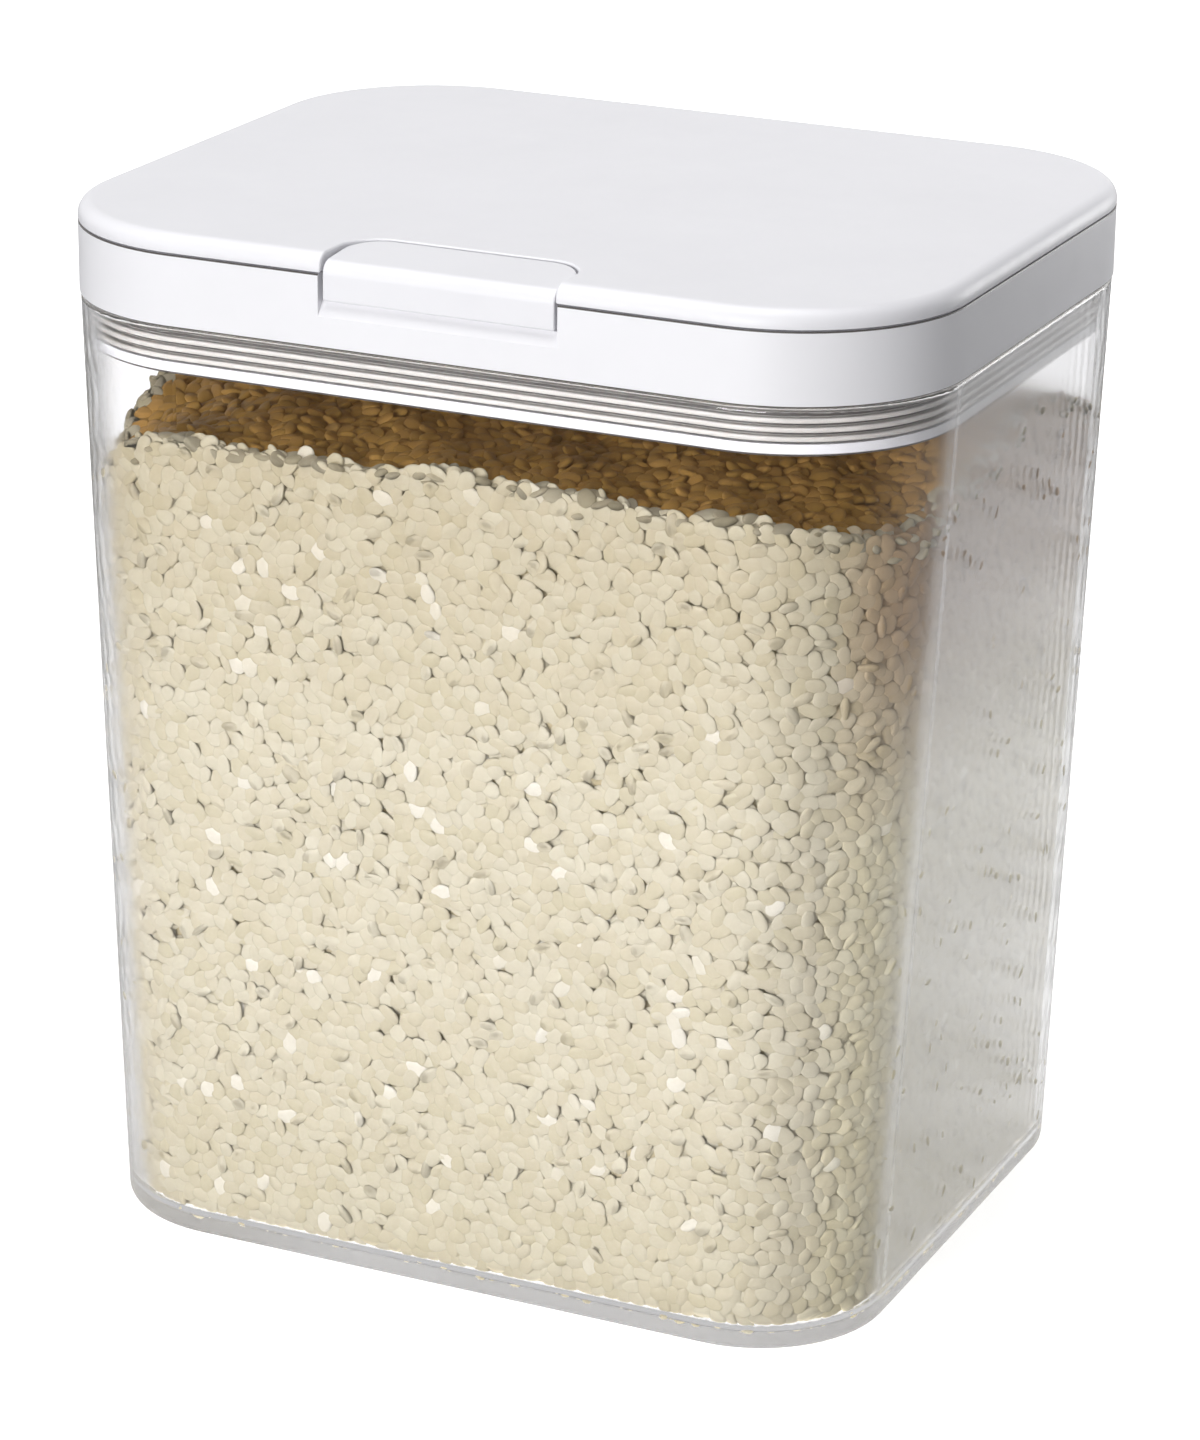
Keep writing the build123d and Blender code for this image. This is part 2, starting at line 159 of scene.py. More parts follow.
def moulded_white(name, colour, dark, rough, gaps=False):
    """Opaque injection-moulded plastic: faint flow mottling and a fine spark-eroded texture."""
    mat, tree, bsdf, _ = new_material(name)
    metres = object_coords(tree, (1, 1, 1))
    mottle = noise(tree, metres, 26.0, 3.0, 0.55)
    body = ramp(tree, mottle, [(0.32, dark), (0.68, colour)])
    # Painted shade in the slot above the gasket and on the rounds at the seams
    if gaps:
        body = paint_gap_shade(tree, metres, body)
    tree.links.new(body, bsdf.inputs["Base Color"])
    haze = noise(tree, metres, 160.0, 3.0, 0.6)
    tree.links.new(spread(tree, haze, rough - 0.04, rough + 0.05, 0.3, 0.7),
                   bsdf.inputs["Roughness"])
    grain = noise(tree, metres, 3600.0, 2.0, 0.6)
    swell = noise(tree, metres, 45.0, 1.0, 0.5)
    fine = bump(tree, grain, 0.20, 0.00002)
    tree.links.new(bump(tree, swell, 0.05, 0.0003, fine), bsdf.inputs["Normal"])
    bsdf.inputs["IOR"].default_value = 1.5
    return mat


def clear_plastic(name):
    """Clear polished plastic with the faint waviness of a moulded wall.

    It is clear as you look straight in and milky at a slant.
    """
    mat, tree, bsdf, out = new_material(name)
    bsdf.inputs["Base Color"].default_value = (0.96, 0.96, 0.97, 1.0)
    slant = tree.nodes.new("ShaderNodeLayerWeight")
    slant.inputs["Blend"].default_value = 0.5
    tree.links.new(spread(tree, slant.outputs["Facing"], 0.0, 0.27, 0.36, 0.60), bsdf.inputs["Roughness"])
    bsdf.inputs["IOR"].default_value = 1.49
    bsdf.inputs["Transmission Weight"].default_value = 1.0
    metres = object_coords(tree, (1, 1, 0.35))
    wave = noise(tree, metres, 24.0, 1.0, 0.4)
    tree.links.new(bump(tree, wave, 0.06, 0.0006), bsdf.inputs["Normal"])
    tint = tree.nodes.new("ShaderNodeVolumeAbsorption")
    tint.inputs["Color"].default_value = (0.50, 0.50, 0.60, 1.0)
    tint.inputs["Density"].default_value = 1.2
    tree.links.new(tint.outputs["Volume"], out.inputs["Volume"])
    return mat


def silicone(name, light, dark, rough):
    """Soft silicone rubber: cloudy colour, a dull skin with dust-fine grain, a little light inside."""
    mat, tree, bsdf, _ = new_material(name)
    metres = object_coords(tree, (1, 1, 1))
    cloud = noise(tree, metres, 60.0, 3.0, 0.6)
    tree.links.new(ramp(tree, cloud, [(0.3, dark), (0.7, light)]), bsdf.inputs["Base Color"])
    skin = noise(tree, metres, 900.0, 3.0, 0.6)
    tree.links.new(spread(tree, skin, rough - 0.06, rough + 0.06, 0.3, 0.7),
                   bsdf.inputs["Roughness"])
    tree.links.new(bump(tree, skin, 0.15, 0.00004), bsdf.inputs["Normal"])
    bsdf.inputs["Subsurface Weight"].default_value = 0.25
    bsdf.inputs["Subsurface Radius"].default_value = (0.0012, 0.0010, 0.0009)
    bsdf.inputs["Subsurface Scale"].default_value = 1.0
    return mat


# Heights on the gasket, in metres: its stretch of painted shade and the middles of its fins
GASKET_STRETCH = (0.2010, 0.2086)
FIN_HEIGHTS = (0.20225, 0.20415, 0.20605)
FIN_HALF, FIN_FADE = 0.0005, 0.00025


def finned_silicone(name, light, dark, rough):
    """The gasket's silicone: pale on the fins, dark with painted shade in the grooves and above the top
    fin, and faintly dusty.
    """
    mat = silicone(name, light, light, rough)
    tree = mat.node_tree
    bsdf = next(node for node in tree.nodes if node.type == "BSDF_PRINCIPLED")
    metres = object_coords(tree, (1, 1, 1))
    bottom, top = GASKET_STRETCH
    # Painted shade: the dark colour in the grooves and above the top fin, the light one on the fins
    stops = []
    for fin in FIN_HEIGHTS:
        stops += [(fin - FIN_HALF - FIN_FADE, dark), (fin - FIN_HALF, light),
                  (fin + FIN_HALF, light), (fin + FIN_HALF + FIN_FADE, dark)]
    height = spread(tree, axes(tree, metres)["Z"], 0.0, 1.0, bottom, top)
    bands = ramp(tree, height, [((z - bottom) / (top - bottom), colour) for z, colour in stops])
    cloud = noise(tree, metres, 60.0, 3.0, 0.6)
    dust = ramp(tree, cloud, [(0.3, (0.90, 0.90, 0.90)), (0.7, WHITE)])
    tree.links.new(tinted(tree, bands, dust), bsdf.inputs["Base Color"])
    return mat


def drawn_steel(name):
    """Drawn steel wire: fine lines along X, uneven shine."""
    mat, tree, bsdf, _ = new_material(name)
    bsdf.inputs["Metallic"].default_value = 1.0
    along = object_coords(tree, (0.04, 1, 1))
    lines = noise(tree, along, 5200.0, 3.0, 0.6)
    tree.links.new(ramp(tree, lines, [(0.3, (0.52, 0.52, 0.53)), (0.7, (0.72, 0.72, 0.73))]),
                   bsdf.inputs["Base Color"])
    tree.links.new(spread(tree, lines, 0.18, 0.36, 0.3, 0.7), bsdf.inputs["Roughness"])
    tree.links.new(bump(tree, lines, 0.3, 0.00001), bsdf.inputs["Normal"])
    return mat


def dress(node, mat):
    """A CAD node keeps its shape and gets this material."""
    mesh = nodes[node].data
    mesh.materials.clear()
    mesh.materials.append(mat)


white_shell = moulded_white("white_satin", (0.83, 0.825, 0.855), (0.81, 0.805, 0.835), 0.42)
# The ring gets painted shade in its slot and at its seams
white_ring = moulded_white("white_satin_ring", (0.872, 0.866, 0.892), (0.852, 0.846, 0.872), 0.36,
                           gaps=True)
white_inner = moulded_white("white_inner", (0.82, 0.82, 0.83), (0.79, 0.79, 0.80), 0.5)
dress("cover_shell", white_shell)
dress("latch", white_shell)
dress("lid_ring", white_ring)
dress("cover_liner", white_inner)
# The gasket's second colour is the painted shade of its grooves
dress("rim_gasket", finned_silicone("gasket_silicone", (0.66, 0.63, 0.60), (0.10, 0.092, 0.085), 0.34))
dress("mouth_seal", silicone("seal_silicone", (0.74, 0.73, 0.71), (0.69, 0.68, 0.66), 0.42))
dress("container", clear_plastic("clear_moulded"))
steel = drawn_steel("drawn_steel")
for pin in ("latch_pin", "hinge_pin_left", "hinge_pin_right"):
    dress(pin, steel)
# A clear wall lets the lamps through
nodes["container"].visible_shadow = False


# ------------------------------------------------ rice, staged as contents

rng = np.random.default_rng(20261125)

# The container's inside in millimetres: half width, half depth and corner at its floor and rim
FLOOR_Z, RIM_Z = 3.0, 209.0
INNER_LOW = (88.6, 74.3, 27.6)
INNER_HIGH = (97.3, 77.3, 35.3)
FOOT_TOP, FOOT_RADIUS = 8.0, 4.0
WALL_SLOPE = -0.035
RICE_HEIGHT = 184.6


def inner_size(z):
    """Half width, half depth and corner of the inside at height z."""
    share = np.clip(z / RIM_Z, 0.0, 1.0)
    return [low + (high - low) * share for low, high in zip(INNER_LOW, INNER_HIGH)]


def rice_level(x, y):
    """Height of the rice, in millimetres: a low mound, sunk at the front corners and the rear."""
    level = RICE_HEIGHT - 13.0 * np.exp(-((x + 96) ** 2 + (y + 60) ** 2) / 22.0 ** 2)
    level = level - 6.0 * np.exp(-((x - 96) ** 2 + (y + 60) ** 2) / 20.0 ** 2)
    level = level + 6.0 * np.exp(-((x - 88) ** 2 / 34.0 ** 2 + (y - 14) ** 2 / 26.0 ** 2))
    rear = np.clip((y - 28.0) / 42.0, 0.0, 1.0)
    level = level - 10.0 * rear * rear * (3 - 2 * rear)
    return level + 0.9 * np.sin(x / 13.0 + 1.0) * np.cos(y / 11.0) + 0.5 * np.sin(x / 5.1 + y / 6.7)


def outline_point(share, z, inset):
    """Points and outward normals round the inside at height z, drawn in by inset.

    share is how far round the point is, 0 to 1.
    """
    half_w, half_d, corner = inner_size(z)
    half_w, half_d, corner = half_w - inset, half_d - inset, corner - inset
    bend = math.pi / 2 * corner
    runs = [2 * (half_d - corner), bend, 2 * (half_w - corner), bend] * 2
    s = share * sum(runs)
    x, y = np.zeros_like(s), np.zeros_like(s)
    nx, ny = np.zeros_like(s), np.zeros_like(s)
    start = np.zeros_like(s)
    for i, run in enumerate(runs):
        here = (s >= start) & (s < start + run + 1e-9)
        t = s - start
        quarter = i // 2
        turn = quarter * math.pi / 2
        c, q = math.cos(turn), math.sin(turn)
        # In its own quarter each run starts on the +X side, going towards +Y
        a, b = (half_w, half_d) if quarter % 2 == 0 else (half_d, half_w)
        if i % 2 == 0:
            u, v, nu, nv = a, -(b - corner) + t, np.ones_like(s), np.zeros_like(s)
        else:
            ang = t / np.maximum(corner, 1e-6)
            u = a - corner + corner * np.cos(ang)
            v = b - corner + corner * np.sin(ang)
            nu, nv = np.cos(ang), np.sin(ang)
        x = np.where(here, u * c - v * q, x)
        y = np.where(here, u * q + v * c, y)
        nx = np.where(here, nu * c - nv * q, nx)
        ny = np.where(here, nu * q + nv * c, ny)
        start = start + run
    return x, y, nx, ny


def frames(normal, twist, tilt_a, tilt_b):
    """Rotations that lay a grain's thickness along normal, its length turned by twist, then tilted."""
    n = normal / np.linalg.norm(normal, axis=1, keepdims=True)
    ref = np.where(np.abs(n[:, 2:3]) > 0.9, np.array([[1.0, 0, 0]]), np.array([[0, 0, 1.0]]))
    side = np.cross(ref, n)
    side /= np.linalg.norm(side, axis=1, keepdims=True)
    up = np.cross(n, side)
    long = side * np.cos(twist)[:, None] + up * np.sin(twist)[:, None]
    long = long + n * np.tan(tilt_a)[:, None]
    long /= np.linalg.norm(long, axis=1, keepdims=True)
    wide = np.cross(n, long)
    wide = wide + n * np.tan(tilt_b)[:, None]
    wide -= long * np.sum(wide * long, axis=1, keepdims=True)
    wide /= np.linalg.norm(wide, axis=1, keepdims=True)
    thin = np.cross(long, wide)
    return np.stack([long, wide, thin], axis=2)


def to_euler(mats):
    """XYZ Euler angles of rotation matrices."""
    sy = -mats[:, 2, 0]
    y = np.arcsin(np.clip(sy, -1, 1))
    x = np.arctan2(mats[:, 2, 1], mats[:, 2, 2])
    z = np.arctan2(mats[:, 1, 0], mats[:, 0, 0])
    return np.stack([x, y, z], axis=1)


# How the grains settle, in millimetres and shares of the pitch
GRAIN_LONG, GRAIN_WIDE = 4.6, 2.85
ROW_PITCH, JITTER = 0.866, 0.16
PASSES, MOVE_SHARE, TURN_SHARE = 16, 0.42, 0.10


def settle(width, height, pitch):
    """Grains on a strip, pushed apart until they hardly overlap. It wraps in width.

    Each grain is three discs along its length. Its neighbours are those near it in the grid
    that it starts in. Gives the places and the angles of the lengths.
    """
    rows, columns = int(height / (pitch * ROW_PITCH)) + 1, int(width / pitch)
    u, v = np.meshgrid(np.arange(columns, dtype=float), np.arange(rows, dtype=float))
    u = (u + 0.5 * (v % 2)) / columns * width + rng.normal(0, pitch * JITTER, u.shape)
    v = v * pitch * ROW_PITCH + rng.normal(0, pitch * JITTER, u.shape)
    angle = rng.normal(0, 0.9, u.shape)
    arms = np.array([-1.0, 0.0, 1.0]) * (GRAIN_LONG - GRAIN_WIDE) * 0.5
    radii = np.array([0.46, 0.5, 0.46]) * GRAIN_WIDE
    offsets = [(0, 1), (0, 2)] + [(dj, di) for dj in (1, 2) for di in (-2, -1, 0, 1, 2)]
    for _ in range(PASSES):
        c, q = np.cos(angle), np.sin(angle)
        push_u, push_v, turn = np.zeros_like(u), np.zeros_like(u), np.zeros_like(u)
        for dj, di in offsets:
            shift = (-dj, -di)
            u2, v2, c2, q2 = (np.roll(field, shift, (0, 1)) for field in (u, v, c, q))
            inside = np.arange(rows)[:, None] < rows - dj
            for a, ra in zip(arms, radii):
                for b, rb in zip(arms, radii):
                    du = u2 + b * c2 - u - a * c
                    du -= width * np.round(du / width)
                    dv = v2 + b * q2 - v - a * q
                    gap = np.hypot(du, dv) + 1e-6
                    press = np.where(inside, np.clip(ra + rb - gap, 0, None), 0) * 0.5 / gap
                    fu, fv = du * press, dv * press
                    push_u -= fu
                    push_v -= fv
                    turn -= a * (c * fv - q * fu)
                    back_u, back_v = (np.roll(field, (dj, di), (0, 1)) for field in (fu, fv))
                    push_u += back_u
                    push_v += back_v
                    turn += b * (c * back_v - q * back_u)
        u = u + MOVE_SHARE * push_u
        v = v + MOVE_SHARE * push_v
        angle = angle + TURN_SHARE * turn
    return u.ravel() % width, v.ravel(), angle.ravel()


# Layers of grains as (depth behind the surface, pitch, share that lies loose)
WALL_LAYERS = ((1.25, 3.30, 0.2), (2.4, 3.2, 0.4), (3.9, 3.1, 0.5))
TOP_LAYERS = ((1.0, 3.3), (2.4, 3.2), (4.0, 3.2))
LOOSE_TILT = 3.2
# Top grains keep this far off the walls, and from the second distance in they get painted shade, in
# millimetres
WALL_MARGIN, PAINTED_SHADE_FROM = 1.6, 5.0
GRAIN_SCALE, SCALE_SPREAD = (1.08, 1.2, 0.92), (0.07, 0.07, 0.05)
# The way round the inside at its rim, and the height of the strip that is laid round it
RIM_LENGTH = 4 * (INNER_HIGH[0] + INNER_HIGH[1]) - (8 - 2 * math.pi) * INNER_HIGH[2]
STRIP_HEIGHT = 196.0

places, turns, outward, in_painted_shade = [], [], [], []
for inset, pitch, loose_share in WALL_LAYERS:
    u, v, angle = settle(RIM_LENGTH, STRIP_HEIGHT, pitch)
    z = FLOOR_Z + 1.1 + v
    depth = inset + rng.uniform(-0.05, 0.40, u.size)
    # The inside's round foot
    foot = np.clip(FOOT_TOP - z, 0.0, FOOT_RADIUS)
    depth = depth + FOOT_RADIUS - np.sqrt(FOOT_RADIUS ** 2 - foot ** 2)
    x, y, nx, ny = outline_point(u / RIM_LENGTH, z, depth)
    keep = (z < rice_level(x, y) - 0.6) & (z > FLOOR_Z + 1.0)
    x, y, z, nx, ny, angle = (field[keep] for field in (x, y, z, nx, ny, angle))
    normal = np.stack([nx, ny, np.full_like(nx, WALL_SLOPE)], axis=1)
    count = x.size
    loose = np.where(rng.random(count) < loose_share, LOOSE_TILT, 1.0)
    places.append(np.stack([x, y, z], axis=1))
    in_painted_shade.append(np.zeros(count, bool))
    outward.append(normal)
    turns.append(frames(normal, angle, rng.normal(0, 0.10, count) * loose,
                        rng.normal(0, 0.16, count) * loose))
for drop, pitch in TOP_LAYERS:
    u, v, angle = settle(2 * INNER_HIGH[0], 2 * INNER_HIGH[1], pitch)
    x, y = u - INNER_HIGH[0], v - INNER_HIGH[1]
    level = rice_level(x, y)
    half_w, half_d, corner = inner_size(level)
    dx = np.maximum(np.abs(x) - (half_w - corner), 0)
    dy = np.maximum(np.abs(y) - (half_d - corner), 0)
    to_wall = np.minimum(corner - np.hypot(dx, dy), np.minimum(half_w - np.abs(x), half_d - np.abs(y)))
    keep = to_wall > WALL_MARGIN
    x, y, level, angle, to_wall = (field[keep] for field in (x, y, level, angle, to_wall))
    z = level - drop + rng.uniform(-0.5, 0.6, x.size)
    slope_x = rice_level(x + 0.5, y) - rice_level(x - 0.5, y)
    slope_y = rice_level(x, y + 0.5) - rice_level(x, y - 0.5)
    normal = np.stack([-slope_x, -slope_y, np.ones_like(x)], axis=1)
    count = x.size
    places.append(np.stack([x, y, z], axis=1))
    # Top grains away from the walls go in the set painted brown, a painted shade under the lid
    in_painted_shade.append(to_wall > PAINTED_SHADE_FROM)
    outward.append(normal)
    turns.append(frames(normal, angle + math.pi / 2, rng.normal(0, 0.28, count),
                        rng.normal(0, 0.35, count)))
places = np.concatenate(places) / 1000.0
turns = to_euler(np.concatenate(turns))
in_painted_shade = np.concatenate(in_painted_shade)
outward = np.concatenate(outward)
outward /= np.linalg.norm(outward, axis=1, keepdims=True)
scales = rng.normal(GRAIN_SCALE, SCALE_SPREAD, (len(places), 3)).clip(0.8, 1.38)


# Tints of the rice by height, as (share of 0.2 m, tint)
BY_HEIGHT = [(0.03, (0.91, 0.90, 0.86)), (0.3, WHITE), (0.6, WHITE), (0.9, (0.85, 0.82, 0.76))]
# Painted light by the side walls: on the right a pale painted reflection low down and painted shade near
# the top, on the left a lighter tint
RIGHT_WALL_PAINTED_VEIL = [(0.55, (1.56, 1.56, 1.42)), (0.80, (0.78, 0.56, 0.40))]
LEFT_WALL_PAINTED_LIGHT = (1.13, 1.11, 1.10, 1.0)
# Below this height, in metres, the grains that face down get a painted glow
LOWEST_GRAINS = 0.0075
OUTWARD_LEAN = 0.58


def rice_material(name, tints, inner):
    """Short-grain rice: translucent cream, a chalky belly in some grains, a faint gloss.

    The share inner of its colour is a painted glow, for light that comes through from the grains around
    it.
    """
    mat, tree, bsdf, _ = new_material(name)
    info = tree.nodes.new("ShaderNodeObjectInfo")
    body = ramp(tree, info.outputs["Random"], list(zip((0.0, 0.35, 0.7, 0.98, 0.99), tints)))
    cloud = noise(tree, object_coords(tree, (1, 1, 1)), 700.0, 2.0, 0.5)
    body = tinted(tree, body, ramp(tree, cloud, [(0.3, (0.95, 0.94, 0.92)), (0.7, WHITE)]))
    # Yellower and darker towards the lid and the foot, where less light comes in
    z = axes(tree, info.outputs["Location"])["Z"]
    level = spread(tree, z, 0.0, 1.0, 0.0, 0.2)
    body = tinted(tree, body, ramp(tree, level, BY_HEIGHT))
    # Painted light: paler at the side walls, and most so at the right one, which looks milky from a
    # painted reflection and is darker near the top with painted shade
    lean = tree.nodes.new("ShaderNodeAttribute")
    lean.attribute_type = "INSTANCER"
    lean.attribute_name = "outward"
    sideways = axes(tree, lean.outputs["Vector"])["X"]
    at_right = spread(tree, sideways, 0.0, 1.0, 0.65, 0.98)
    at_left = spread(tree, sideways, 1.0, 0.0, -0.9, -0.2)
    body = tinted(tree, body, ramp(tree, level, RIGHT_WALL_PAINTED_VEIL), at_right)
    body = tinted(tree, body, LEFT_WALL_PAINTED_LIGHT, at_left)
    tree.links.new(body, bsdf.inputs["Base Color"])
    bsdf.inputs["Roughness"].default_value = 0.42
    bsdf.inputs["Specular IOR Level"].default_value = 0.2
    # Light goes through a grain, so its sides are about as light as its face: the normals lean outwards
    geometry = tree.nodes.new("ShaderNodeNewGeometry")
    blend = tree.nodes.new("ShaderNodeMix")
    blend.data_type = "VECTOR"
    blend.inputs["Factor"].default_value = OUTWARD_LEAN
    tree.links.new(geometry.outputs["Normal"], blend.inputs["A"])
    tree.links.new(lean.outputs["Vector"], blend.inputs["B"])
    unit = tree.nodes.new("ShaderNodeVectorMath")
    unit.operation = "NORMALIZE"
    tree.links.new(blend.outputs["Result"], unit.inputs[0])
    tree.links.new(bump(tree, cloud, 0.2, 0.0001, unit.outputs["Vector"]), bsdf.inputs["Normal"])
    # Painted glow: the lowest grains that face down glow, for the light that the white table under the
    # bin gives from below
    facing = axes(tree, geometry.outputs["Normal"])["Z"]
    low = math_node(tree, "LESS_THAN", z, LOWEST_GRAINS)
    below = math_node(tree, "MULTIPLY", low, spread(tree, facing, 0.0, 0.85, -0.15, -0.6))
    tree.links.new(body, bsdf.inputs["Emission Color"])
    tree.links.new(math_node(tree, "ADD", below, inner), bsdf.inputs["Emission Strength"])
    return mat


# Length, width, thickness in millimetres, and the depth of the nick
GRAIN_SHAPES = ((4.7, 2.95, 2.0, 0.22), (4.4, 3.05, 2.0, 0.15),
                (4.9, 2.85, 1.9, 0.28), (4.3, 2.95, 2.1, 0.10))


def grain_mesh(name, length, width, thick, notch, mat):
    """A short grain: an egg with flattened sides and the nick where its germ was."""
    rings, sides = 10, 12
    verts, faces = [(-length / 2, 0, 0)], []
    for i in range(1, rings):
        t = math.pi * i / rings
        x = -math.cos(t)
        radius = math.sin(t) ** 0.8 * (1.0 + 0.10 * x)
        nick = 1.0 - notch * math.exp(-((x - 0.86) / 0.22) ** 2)
        for j in range(sides):
            a = 2 * math.pi * j / sides
            c, s = math.cos(a), math.sin(a)
            cut = nick if c > 0.3 else 1.0
            verts.append((x * length / 2,
                          radius * cut * math.copysign(abs(c) ** 0.9, c) * width / 2,
                          radius * math.copysign(abs(s) ** 0.9, s) * thick / 2))
    verts.append((length / 2, 0, 0))
    last = len(verts) - 1
    for j in range(sides):
        k = (j + 1) % sides
        faces.append((0, 1 + k, 1 + j))
        faces.append((last, last - sides + j, last - sides + k))
        for i in range(rings - 2):
            a, b = 1 + i * sides, 1 + (i + 1) * sides
            faces.append((a + j, a + k, b + k, b + j))
    mesh = bpy.data.meshes.new(name)
    mesh.from_pydata(verts, [], faces)
    mesh.polygons.foreach_set("use_smooth", [True] * len(mesh.polygons))
    mesh.materials.append(mat)
    return mesh


def grain_shapes(name, mat):
    """Four grain shapes in a collection of their own."""
    shapes = bpy.data.collections.new(name)
    for i, (length, width, thick, notch) in enumerate(GRAIN_SHAPES):
        shapes.objects.link(bpy.data.objects.new(f"{name}_{i}", grain_mesh(
            f"{name}_{i}", length / 1000, width / 1000, thick / 1000, notch, mat)))
    return shapes


def scattered_grains(name, grain_set, which):
    """One object whose points carry the grains as instances."""
    mesh = bpy.data.meshes.new(name)
    mesh.vertices.add(int(which.sum()))
    mesh.vertices.foreach_set("co", places[which].astype(np.float32).ravel())
    for label, values in (("turn", turns), ("size", scales), ("outward", outward)):
        layer = mesh.attributes.new(label, "FLOAT_VECTOR", "POINT")
        layer.data.foreach_set("vector", values[which].astype(np.float32).ravel())
    obj = bpy.data.objects.new(name, mesh)
    scene.collection.objects.link(obj)
    tree = bpy.data.node_groups.new(name, "GeometryNodeTree")
    tree.interface.new_socket("Geometry", in_out="INPUT", socket_type="NodeSocketGeometry")
    tree.interface.new_socket("Geometry", in_out="OUTPUT", socket_type="NodeSocketGeometry")
    enter, leave = tree.nodes.new("NodeGroupInput"), tree.nodes.new("NodeGroupOutput")
    put = tree.nodes.new("GeometryNodeInstanceOnPoints")
    shapes = tree.nodes.new("GeometryNodeCollectionInfo")
    shapes.inputs["Collection"].default_value = grain_set
    shapes.inputs["Separate Children"].default_value = True
    shapes.inputs["Reset Children"].default_value = True
    put.inputs["Pick Instance"].default_value = True
    pick = tree.nodes.new("FunctionNodeRandomValue")
    pick.data_type = "INT"
    # Inputs 4 and 5 are its smallest and largest whole number
    pick.inputs[4].default_value = 0
    pick.inputs[5].default_value = len(GRAIN_SHAPES) - 1
    read_turn, read_size = (tree.nodes.new("GeometryNodeInputNamedAttribute") for _ in range(2))
    for node, label in ((read_turn, "turn"), (read_size, "size")):
        node.data_type = "FLOAT_VECTOR"
        node.inputs["Name"].default_value = label
    euler = tree.nodes.new("FunctionNodeEulerToRotation")
    link = tree.links.new
    link(enter.outputs[0], put.inputs["Points"])
    link(shapes.outputs[0], put.inputs["Instance"])
    link(pick.outputs[2], put.inputs["Instance Index"])
    link(read_turn.outputs["Attribute"], euler.inputs[0])
    link(euler.outputs[0], put.inputs["Rotation"])
    link(read_size.outputs["Attribute"], put.inputs["Scale"])
    link(put.outputs["Instances"], leave.inputs[0])
    modifier = obj.modifiers.new("grains", "NODES")
    modifier.node_group = tree
    return obj


def rice_core(name, mat):
    """The bulk behind the grains that show: rings up the sides, then rings drawn in over the top."""
    steps, inset, cover, foot = 96, 2.9, 2.6, FLOOR_Z + 3.5
    share = (np.arange(steps) + 0.5) / steps
    heights = np.linspace(0, 1, 14)
    verts, faces = [], []
    for t in heights:
        x, y, _, _ = outline_point(share, np.full(steps, 190.0 * t + 5.0), inset)
        top = rice_level(x, y) - cover
        z = foot + (top - foot) * t
        x, y, _, _ = outline_point(share, z, inset)
        verts.extend(zip(x / 1000, y / 1000, z / 1000))
    for i in range(len(heights) - 1):
        for j in range(steps):
            k = (j + 1) % steps
            faces.append((i * steps + j, i * steps + k, (i + 1) * steps + k, (i + 1) * steps + j))
    faces.append(tuple(range(steps))[::-1])
    # Top: rings drawn in to the middle, each at the rice's height
    last = (len(heights) - 1) * steps
    rim = np.array(verts[last:last + steps]) * 1000
    for t in np.linspace(0.85, 0.05, 9):
        x, y = rim[:, 0] * t, rim[:, 1] * t
        z = rice_level(x, y) - cover
        first = len(verts)
        verts.extend(zip(x / 1000, y / 1000, z / 1000))
        for j in range(steps):
            k = (j + 1) % steps
            faces.append((last + j, last + k, first + k, first + j))
        last = first
    faces.append(tuple(range(last, last + steps)))
    mesh = bpy.data.meshes.new(name)
    mesh.from_pydata(verts, [], faces)
    mesh.materials.append(mat)
    obj = bpy.data.objects.new(name, mesh)
    scene.collection.objects.link(obj)
    return obj


def depth_material(name):
    """What shows between the grains: cream at the sides, brown on top as painted shade, and a painted
    glow underneath for the light of the table below.
    """
    mat, tree, bsdf, _ = new_material(name)
    cloud = noise(tree, object_coords(tree, (1, 1, 1)), 500.0, 3.0, 0.6)
    sides = ramp(tree, cloud, [(0.3, (0.46, 0.39, 0.25)), (0.7, (0.52, 0.45, 0.31))])
    # Painted shade: the faces that look up are brown
    top = ramp(tree, cloud, [(0.3, (0.31, 0.175, 0.05)), (0.7, (0.37, 0.215, 0.06))])
    facing = axes(tree, tree.nodes.new("ShaderNodeNewGeometry").outputs["Normal"])["Z"]
    body = mix_colours(tree, sides, top, spread(tree, facing, 0.0, 1.0, 0.4, 0.6))
    tree.links.new(body, bsdf.inputs["Base Color"])
    bsdf.inputs["Roughness"].default_value = 0.8
    bsdf.inputs["Specular IOR Level"].default_value = 0.0
    # Painted glow on the faces that look down, for the light of the white table
    bsdf.inputs["Emission Color"].default_value = (0.93, 0.91, 0.87, 1.0)
    tree.links.new(spread(tree, facing, 0.9, 0.0, -0.7, -0.3), bsdf.inputs["Emission Strength"])
    return mat


# Four tints from yellower to paler, then the chalky grains
PALE_TINTS = ((0.455, 0.412, 0.302), (0.477, 0.432, 0.33), (0.49, 0.452, 0.357),
              (0.504, 0.468, 0.372), (0.60, 0.57, 0.50))
# The top grains are painted brown: painted shade under the lid
PAINTED_SHADE_TINTS = ((0.46, 0.27, 0.078), (0.48, 0.285, 0.084), (0.50, 0.29, 0.09),
                (0.51, 0.30, 0.096), (0.54, 0.33, 0.12))
# Painted glow, as a share of each grain's colour, for light that comes through from the grains around
PALE_GLOW, SHADED_GLOW = 0.11, 0.05

